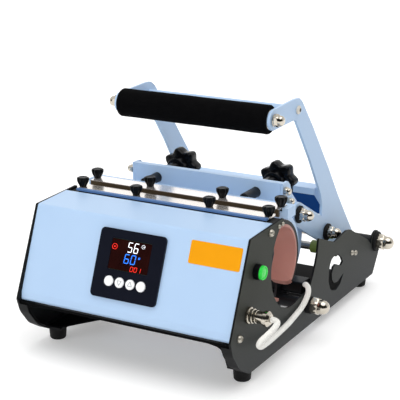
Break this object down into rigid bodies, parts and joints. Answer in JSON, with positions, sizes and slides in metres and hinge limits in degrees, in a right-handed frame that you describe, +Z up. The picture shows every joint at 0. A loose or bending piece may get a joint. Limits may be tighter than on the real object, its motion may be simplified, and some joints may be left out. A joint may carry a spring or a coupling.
{
  "type": "cylindrical heat press",
  "caption": "Tumbler heat press with a sloping control housing, a split round heating pad, a toggle lever that opens the rear jaw, and a pad clamp drawn by star knobs",
  "frame": {"origin": "centre of the footprint, on the surface the feet stand on", "axes": "+X to the right seen from the control panel, +Y to the rear, +Z up"},
  "size_m": [0.3378, 0.4168, 0.2772],
  "materials": {
    "side_plate_left": "dark grey powder coat",
    "side_plate_right": "dark grey powder coat",
    "foot_front_left": "black rubber",
    "foot_rear_left": "black rubber",
    "foot_front_right": "black rubber",
    "foot_rear_right": "black rubber",
    "front_cover": "light blue powder coat",
    "bottom_pan": "black powder coat",
    "control_bezel": "moulded black plastic",
    "display_window": "dark display window",
    "panel_key_1": "white key",
    "panel_key_2": "white key",
    "panel_key_3": "white key",
    "panel_key_4": "white key",
    "controller_board": "green circuit board",
    "switch_bezel": "moulded black plastic",
    "power_button": "green lit cap",
    "heater_connector": "bright plated",
    "heater_plug": "bright plated",
    "heater_cable": "white braid",
    "mains_inlet": "moulded black plastic",
    "front_shell": "light blue powder coat",
    "heating_pad_front": "pink silicone over a heating mat",
    "front_clamp_strip": "bright plated",
    "thumb_screw_front_1": "moulded black plastic",
    "thumb_screw_front_2": "moulded black plastic",
    "thumb_screw_front_3": "moulded black plastic",
    "thumb_screw_front_4": "moulded black plastic",
    "rear_axle": "bright plated",
    "jaw_axle": "bright plated",
    "stop_rod": "olive rubber sleeves on a steel rod",
    "jaw_plate_left": "light blue powder coat",
    "jaw_plate_right": "light blue powder coat",
    "beam": "light blue powder coat",
    "rear_shell": "light blue powder coat",
    "heating_pad_rear": "pink silicone over a heating mat",
    "terminal_cover": "moulded black plastic",
    "jaw_hinge": "black powder coat",
    "star_knob_left": "moulded black plastic",
    "star_knob_right": "moulded black plastic",
    "clamp_bar": "light blue powder coat",
    "rear_clamp_strip": "bright plated",
    "thumb_screw_rear_1": "moulded black plastic",
    "thumb_screw_rear_2": "moulded black plastic",
    "thumb_screw_rear_3": "moulded black plastic",
    "thumb_screw_rear_4": "moulded black plastic",
    "adjuster_rod_left": "moulded black plastic",
    "adjuster_rod_right": "moulded black plastic",
    "link_left": "light blue powder coat",
    "knee_bolt_left": "bright plated",
    "jaw_link_bolt_left": "bright plated",
    "link_right": "light blue powder coat",
    "knee_bolt_right": "bright plated",
    "jaw_link_bolt_right": "bright plated",
    "lever_arm_left": "light blue powder coat",
    "lever_arm_right": "light blue powder coat",
    "lever_tie": "light blue powder coat",
    "grip_bar": "bright plated",
    "foam_grip": "closed-cell foam sleeve"
  },
  "bodies": {
    "base": {"side_plate_left": "side_plate_left", "side_plate_right": "side_plate_right", "foot_front_left": "foot_front_left", "foot_rear_left": "foot_rear_left", "foot_front_right": "foot_front_right", "foot_rear_right": "foot_rear_right", "front_cover": "front_cover", "bottom_pan": "bottom_pan", "control_bezel": "control_bezel", "display_window": "display_window", "controller_board": "controller_board", "switch_bezel": "switch_bezel", "heater_connector": "heater_connector", "heater_plug": "heater_plug", "heater_cable": "heater_cable", "mains_inlet": "mains_inlet", "front_shell": "front_shell", "heating_pad_front": "heating_pad_front", "front_clamp_strip": "front_clamp_strip", "rear_axle": "rear_axle", "jaw_axle": "jaw_axle", "stop_rod": "stop_rod"},
    "lever": {"lever_arm_left": "lever_arm_left", "lever_arm_right": "lever_arm_right", "lever_tie": "lever_tie", "grip_bar": "grip_bar", "foam_grip": "foam_grip"},
    "link_left": {"link_left": "link_left", "knee_bolt_left": "knee_bolt_left", "jaw_link_bolt_left": "jaw_link_bolt_left"},
    "link_right": {"link_right": "link_right", "knee_bolt_right": "knee_bolt_right", "jaw_link_bolt_right": "jaw_link_bolt_right"},
    "jaw": {"jaw_plate_left": "jaw_plate_left", "jaw_plate_right": "jaw_plate_right", "beam": "beam", "rear_shell": "rear_shell", "heating_pad_rear": "heating_pad_rear", "terminal_cover": "terminal_cover", "jaw_hinge": "jaw_hinge"},
    "star_knob_left": {"star_knob_left": "star_knob_left"},
    "star_knob_right": {"star_knob_right": "star_knob_right"},
    "clamp": {"clamp_bar": "clamp_bar", "rear_clamp_strip": "rear_clamp_strip", "adjuster_rod_left": "adjuster_rod_left", "adjuster_rod_right": "adjuster_rod_right"},
    "thumb_screw_front_1": {"thumb_screw_front_1": "thumb_screw_front_1"},
    "thumb_screw_front_2": {"thumb_screw_front_2": "thumb_screw_front_2"},
    "thumb_screw_front_3": {"thumb_screw_front_3": "thumb_screw_front_3"},
    "thumb_screw_front_4": {"thumb_screw_front_4": "thumb_screw_front_4"},
    "thumb_screw_rear_1": {"thumb_screw_rear_1": "thumb_screw_rear_1"},
    "thumb_screw_rear_2": {"thumb_screw_rear_2": "thumb_screw_rear_2"},
    "thumb_screw_rear_3": {"thumb_screw_rear_3": "thumb_screw_rear_3"},
    "thumb_screw_rear_4": {"thumb_screw_rear_4": "thumb_screw_rear_4"},
    "power_button": {"power_button": "power_button"},
    "panel_key_1": {"panel_key_1": "panel_key_1"},
    "panel_key_2": {"panel_key_2": "panel_key_2"},
    "panel_key_3": {"panel_key_3": "panel_key_3"},
    "panel_key_4": {"panel_key_4": "panel_key_4"}
  },
  "joints": [
    {"name": "lever_hinge", "type": "hinge", "parent": "base", "child": "lever", "pos_m": [0, 0.19392, 0.0575], "axis": [-1, 0, 0], "range_deg": [0, 38]},
    {"name": "jaw_hinge_joint", "type": "hinge", "parent": "base", "child": "jaw", "pos_m": [0, -0.01908, 0.0435], "axis": [-1, 0, 0], "range_deg": [0, 22.3]},
    {"name": "link_left_hinge", "type": "hinge", "parent": "lever", "child": "link_left", "pos_m": [-0.103, 0.10043, 0.0925], "axis": [1, 0, 0], "range_deg": [0, 81.4]},
    {"name": "link_right_hinge", "type": "hinge", "parent": "lever", "child": "link_right", "pos_m": [0.103, 0.10043, 0.0925], "axis": [1, 0, 0], "range_deg": [0, 81.4]},
    {"name": "star_knob_left_turn", "type": "hinge", "parent": "jaw", "child": "star_knob_left", "pos_m": [-0.0657, 0.04693, 0.167], "axis": [0, 1, 0], "range_deg": [0, 2880]},
    {"name": "star_knob_right_turn", "type": "hinge", "parent": "jaw", "child": "star_knob_right", "pos_m": [0.0657, 0.04693, 0.167], "axis": [0, 1, 0], "range_deg": [0, 2880]},
    {"name": "clamp_slide", "type": "slide", "parent": "jaw", "child": "clamp", "axis": [0, 1, 0], "range_m": [0, 0.012]},
    {"name": "thumb_screw_front_1_turn", "type": "hinge", "parent": "base", "child": "thumb_screw_front_1", "pos_m": [-0.1199, -0.09277, 0.172], "axis": [0, 0, 1], "continuous": true},
    {"name": "thumb_screw_front_2_turn", "type": "hinge", "parent": "base", "child": "thumb_screw_front_2", "pos_m": [-0.0472, -0.09277, 0.172], "axis": [0, 0, 1], "continuous": true},
    {"name": "thumb_screw_front_3_turn", "type": "hinge", "parent": "base", "child": "thumb_screw_front_3", "pos_m": [0.0472, -0.09277, 0.172], "axis": [0, 0, 1], "continuous": true},
    {"name": "thumb_screw_front_4_turn", "type": "hinge", "parent": "base", "child": "thumb_screw_front_4", "pos_m": [0.1199, -0.09277, 0.172], "axis": [0, 0, 1], "continuous": true},
    {"name": "thumb_screw_rear_1_turn", "type": "hinge", "parent": "clamp", "child": "thumb_screw_rear_1", "pos_m": [-0.1199, -0.06177, 0.172], "axis": [0, 0, 1], "continuous": true},
    {"name": "thumb_screw_rear_2_turn", "type": "hinge", "parent": "clamp", "child": "thumb_screw_rear_2", "pos_m": [-0.0472, -0.06177, 0.172], "axis": [0, 0, 1], "continuous": true},
    {"name": "thumb_screw_rear_3_turn", "type": "hinge", "parent": "clamp", "child": "thumb_screw_rear_3", "pos_m": [0.0472, -0.06177, 0.172], "axis": [0, 0, 1], "continuous": true},
    {"name": "thumb_screw_rear_4_turn", "type": "hinge", "parent": "clamp", "child": "thumb_screw_rear_4", "pos_m": [0.1199, -0.06177, 0.172], "axis": [0, 0, 1], "continuous": true},
    {"name": "power_button_press", "type": "slide", "parent": "base", "child": "power_button", "axis": [-1, 0, 0], "range_m": [0, 0.002], "stiffness_N_per_m": 300},
    {"name": "panel_key_1_press", "type": "slide", "parent": "base", "child": "panel_key_1", "axis": [0, 0.9281, -0.3723], "range_m": [0, 0.0006], "stiffness_N_per_m": 300},
    {"name": "panel_key_2_press", "type": "slide", "parent": "base", "child": "panel_key_2", "axis": [0, 0.9281, -0.3723], "range_m": [0, 0.0006], "stiffness_N_per_m": 300},
    {"name": "panel_key_3_press", "type": "slide", "parent": "base", "child": "panel_key_3", "axis": [0, 0.9281, -0.3723], "range_m": [0, 0.0006], "stiffness_N_per_m": 300},
    {"name": "panel_key_4_press", "type": "slide", "parent": "base", "child": "panel_key_4", "axis": [0, 0.9281, -0.3723], "range_m": [0, 0.0006], "stiffness_N_per_m": 300}
  ],
  "couplings": [
    {"joint": "jaw_hinge_joint", "follows": "lever_hinge", "ratio": 0.5863},
    {"joint": "link_left_hinge", "follows": "lever_hinge", "ratio": 2.1413},
    {"joint": "link_right_hinge", "follows": "lever_hinge", "ratio": 2.1413},
    {"joint": "star_knob_left_turn", "follows": "clamp_slide", "rad_per_m": 4188.7},
    {"joint": "star_knob_right_turn", "follows": "clamp_slide", "rad_per_m": 4188.7}
  ]
}
